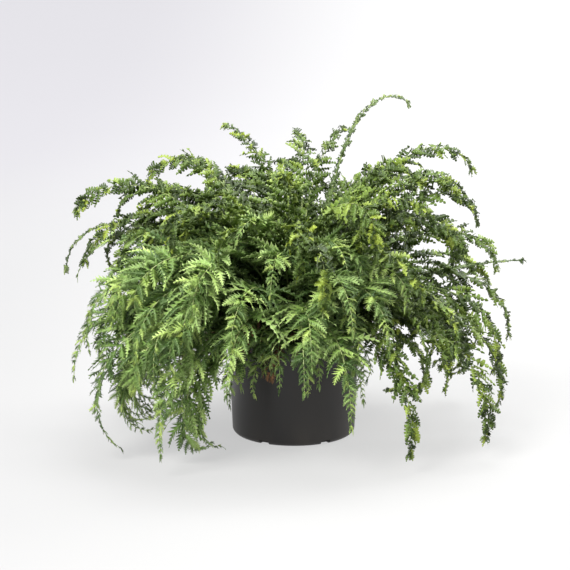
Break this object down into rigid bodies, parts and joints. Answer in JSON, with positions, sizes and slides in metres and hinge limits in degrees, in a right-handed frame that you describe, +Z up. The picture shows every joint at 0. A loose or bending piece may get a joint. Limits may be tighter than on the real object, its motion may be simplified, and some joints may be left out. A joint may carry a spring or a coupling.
{
  "type": "potted fern",
  "caption": "Crested fern with many arching, finely cut fronds, growing from a scaly crown in a round black nursery pot of potting mix.",
  "frame": {"origin": "centre of the pot's flat underside, on the pot's axis", "axes": "+Z up along the pot's axis; -Y towards the plant's best side; +X to the right of that side"},
  "size_m": [0.5801, 0.5126, 0.4246],
  "materials": {
    "pot_plastic": "satin black, injection moulded",
    "potting_mix": "crumbly peat and bark",
    "rhizome": "rough, scaly",
    "lace_frond": "soft matte leaf, fresh blue green",
    "crisped_frond": "soft matte leaf, olive green",
    "tail_frond": "soft matte leaf, grey green"
  },
  "bodies": {
    "root": {"crisped_frond_heart_02": "crisped_frond", "crisped_frond_heart_03": "crisped_frond", "crisped_frond_heart_04": "crisped_frond", "crisped_frond_heart_05": "crisped_frond", "crisped_frond_lower_01": "crisped_frond", "crisped_frond_lower_02": "crisped_frond", "crisped_frond_lower_03": "crisped_frond", "crisped_frond_lower_04": "crisped_frond", "crisped_frond_lower_11": "crisped_frond", "crisped_frond_lower_12": "crisped_frond", "crisped_frond_lower_13": "crisped_frond", "crisped_frond_middle_01": "crisped_frond", "crisped_frond_middle_03": "crisped_frond", "crisped_frond_middle_04": "crisped_frond", "crisped_frond_middle_05": "crisped_frond", "crisped_frond_middle_06": "crisped_frond", "crisped_frond_middle_14": "crisped_frond", "crisped_frond_middle_15": "crisped_frond", "crisped_frond_top_01": "crisped_frond", "crisped_frond_top_02": "crisped_frond", "crisped_frond_top_03": "crisped_frond", "crisped_frond_top_04": "crisped_frond", "crisped_frond_top_05": "crisped_frond", "crisped_frond_top_06": "crisped_frond", "crisped_frond_top_07": "crisped_frond", "crisped_frond_top_10": "crisped_frond", "crisped_frond_upper_01": "crisped_frond", "crisped_frond_upper_02": "crisped_frond", "crisped_frond_upper_03": "crisped_frond", "crisped_frond_upper_04": "crisped_frond", "crisped_frond_upper_05": "crisped_frond", "crisped_frond_upper_06": "crisped_frond", "crisped_frond_upper_07": "crisped_frond", "crisped_frond_upper_12": "crisped_frond", "crisped_frond_upper_13": "crisped_frond", "lace_frond_lower_05": "lace_frond", "lace_frond_lower_06": "lace_frond", "lace_frond_lower_07": "lace_frond", "lace_frond_lower_08": "lace_frond", "lace_frond_lower_09": "lace_frond", "lace_frond_lower_10": "lace_frond", "lace_frond_lower_14": "lace_frond", "lace_frond_middle_07": "lace_frond", "lace_frond_middle_09": "lace_frond", "lace_frond_middle_10": "lace_frond", "lace_frond_middle_11": "lace_frond", "lace_frond_middle_12": "lace_frond", "lace_frond_middle_13": "lace_frond", "lace_frond_top_08": "lace_frond", "lace_frond_top_09": "lace_frond", "lace_frond_upper_08": "lace_frond", "lace_frond_upper_09": "lace_frond", "lace_frond_upper_10": "lace_frond", "lace_frond_upper_11": "lace_frond", "nursery_pot": "pot_plastic", "potting_mix": "potting_mix", "rhizome_crown": "rhizome", "tail_frond_heart_01": "tail_frond", "tail_frond_middle_02": "tail_frond", "tail_frond_middle_08": "tail_frond"}
  },
  "joints": []
}
